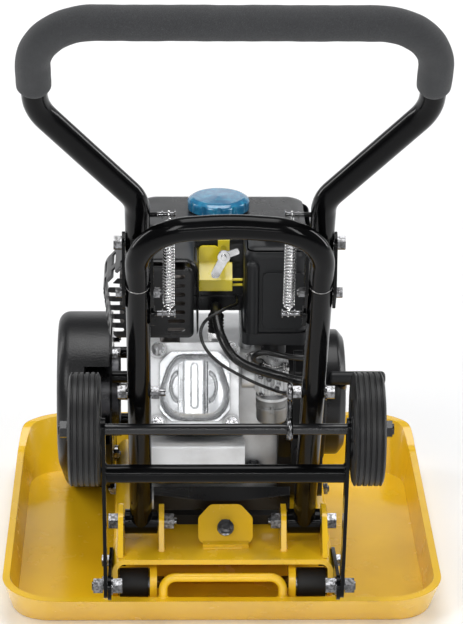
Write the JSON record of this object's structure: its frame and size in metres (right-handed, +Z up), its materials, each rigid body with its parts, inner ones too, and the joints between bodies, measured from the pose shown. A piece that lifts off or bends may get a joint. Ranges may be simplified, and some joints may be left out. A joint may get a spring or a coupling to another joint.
{
  "type": "plate compactor",
  "caption": "Forward plate compactor: turned-up sole plate, engine on a rubber-mounted deck, belt-driven exciter, fold-down handle and swing-down transport wheels.",
  "frame": {"origin": "middle of the sole plate's underside", "axes": "+Z up, +Y the direction of travel, +X the operator's right"},
  "size_m": [0.5, 0.8103, 0.819],
  "materials": {
    "yellow_paint": "gloss",
    "black_paint": "gloss",
    "rubber": "matte",
    "zinc": "satin",
    "cast_paint": "satin",
    "bearing_steel": "polished",
    "shaft_steel": "satin",
    "pulley_iron": "satin",
    "cast_aluminium": "satin",
    "pressed_aluminium": "satin",
    "cable_rubber": "satin",
    "muffler_steel": "satin",
    "black_sheet": "satin",
    "tank_paint": "satin",
    "blue_plastic": "gloss",
    "black_plastic": "satin",
    "zinc_casting": "satin",
    "yellow_zinc": "satin",
    "chrome_steel": "polished",
    "drum_steel": "satin",
    "belt_rubber": "matte",
    "cover_plastic": "satin",
    "foam": "matte",
    "spring_steel": "polished",
    "black_zinc": "gloss",
    "tyre": "satin"
  },
  "bodies": {
    "chassis": {"base_plate": "yellow_paint", "lifting_bar": "yellow_paint", "isolator_lugs": "yellow_paint", "engine_deck": "yellow_paint", "deck_brackets": "yellow_paint", "rubber_isolators": "rubber", "handle_rubbers": "rubber", "plate_hardware": "zinc", "deck_hardware": "zinc", "engine_bolts": "zinc", "handle_bolts": "zinc", "exciter_housing": "cast_paint", "exciter_covers": "cast_paint", "exciter_bearings": "bearing_steel", "wheel_brackets": "black_paint", "crankcase": "cast_aluminium", "crankcase_cover": "cast_aluminium", "engine_mat": "rubber", "cylinder": "cast_aluminium", "cylinder_head": "cast_aluminium", "valve_cover": "pressed_aluminium", "spark_plug": "bearing_steel", "engine_hoses": "cable_rubber", "muffler": "muffler_steel", "muffler_guard": "black_sheet", "fuel_tank": "tank_paint", "air_cleaner_base": "black_plastic", "air_cleaner_cover": "black_plastic", "carburettor": "zinc_casting", "control_bracket": "yellow_zinc", "fan_housing": "black_sheet", "recoil_cover": "black_sheet", "drive_belt": "belt_rubber", "belt_cover": "cover_plastic", "belt_guard": "black_paint", "handle_legs": "black_paint", "hinge_plates": "black_paint", "rear_hoop": "black_paint", "handle_springs": "spring_steel"},
    "crank": {"crankshaft": "shaft_steel", "flywheel": "pulley_iron", "clutch_hub": "shaft_steel"},
    "drum": {"clutch_drum": "drum_steel"},
    "exciter": {"exciter_shaft": "shaft_steel", "exciter_pulley": "pulley_iron"},
    "cap": {"fuel_cap": "blue_plastic"},
    "cleaner_knob": {"air_cleaner_knob": "black_plastic"},
    "choke": {"choke_lever": "black_plastic"},
    "throttle": {"throttle_lever": "chrome_steel"},
    "governor": {"governor_arm": "yellow_zinc"},
    "switch": {"switch_knob": "black_plastic"},
    "starter": {"starter_handle": "black_plastic"},
    "dipstick": {"oil_dipstick": "black_plastic"},
    "upper_frame": {"upper_handle": "black_paint", "foam_grip": "foam"},
    "swing_frame": {"wheel_frame": "black_paint", "wheel_axle": "black_zinc"},
    "left_wheel": {"wheel_left": "tyre"},
    "right_wheel": {"wheel_right": "tyre"},
    "latch": {"latch_hook": "zinc"}
  },
  "joints": [
    {"name": "handle_fold", "type": "hinge", "parent": "chassis", "child": "upper_frame", "pos_m": [0, -0.38609, 0.52765], "axis": [-1, 0, 0], "range_deg": [0, 126], "deforming": ["handle_springs"]},
    {"name": "wheel_swing", "type": "hinge", "parent": "chassis", "child": "swing_frame", "pos_m": [0, -0.267, 0.08], "axis": [1, 0, 0], "range_deg": [0, 83]},
    {"name": "latch_turn", "type": "hinge", "parent": "swing_frame", "child": "latch", "pos_m": [0.0676, -0.311, 0.289], "axis": [1, 0, 0], "range_deg": [0, 100]},
    {"name": "left_wheel_spin", "type": "hinge", "parent": "swing_frame", "child": "left_wheel", "pos_m": [-0.15, -0.311, 0.289], "axis": [1, 0, 0], "continuous": true},
    {"name": "right_wheel_spin", "type": "hinge", "parent": "swing_frame", "child": "right_wheel", "pos_m": [0.15, -0.311, 0.289], "axis": [1, 0, 0], "continuous": true},
    {"name": "crank_spin", "type": "hinge", "parent": "chassis", "child": "crank", "pos_m": [0, 0.01, 0.194], "axis": [1, 0, 0], "continuous": true},
    {"name": "drum_spin", "type": "hinge", "parent": "chassis", "child": "drum", "pos_m": [-0.145, 0.01, 0.194], "axis": [1, 0, 0], "continuous": true},
    {"name": "exciter_spin", "type": "hinge", "parent": "chassis", "child": "exciter", "pos_m": [0, 0.145, 0.052], "axis": [1, 0, 0], "continuous": true},
    {"name": "cap_turn", "type": "hinge", "parent": "chassis", "child": "cap", "pos_m": [-0.004, -0.01, 0.43], "axis": [0, 0, 1], "range_deg": [0, 90]},
    {"name": "cleaner_knob_turn", "type": "hinge", "parent": "chassis", "child": "cleaner_knob", "pos_m": [0.057, -0.131, 0.44], "axis": [0, 0, 1], "range_deg": [0, 720]},
    {"name": "choke_turn", "type": "hinge", "parent": "chassis", "child": "choke", "pos_m": [0.08, -0.137, 0.276], "axis": [1, 0, 0], "range_deg": [0, 60]},
    {"name": "throttle_turn", "type": "hinge", "parent": "chassis", "child": "throttle", "pos_m": [0, -0.126, 0.415], "axis": [0, -1, 0], "range_deg": [0, 45]},
    {"name": "governor_turn", "type": "hinge", "parent": "chassis", "child": "governor", "pos_m": [0.027, -0.03, 0.3], "axis": [0, 0, 1], "range_deg": [-8, 8], "stiffness_Nm_per_rad": 0.15},
    {"name": "switch_turn", "type": "hinge", "parent": "chassis", "child": "switch", "pos_m": [0.094, -0.102, 0.166], "axis": [0, 1, 0], "range_deg": [0, 45]},
    {"name": "dipstick_turn", "type": "hinge", "parent": "chassis", "child": "dipstick", "pos_m": [0.038, -0.062, 0.128], "axis": [0, 1, 0], "range_deg": [0, 720]},
    {"name": "starter_pull", "type": "slide", "parent": "chassis", "child": "starter", "axis": [0, -0.7, 0.7141], "range_m": [0, 0.09], "stiffness_N_per_m": 15}
  ],
  "couplings": [
    {"joint": "exciter_spin", "follows": "drum_spin", "ratio": 1.6667}
  ]
}
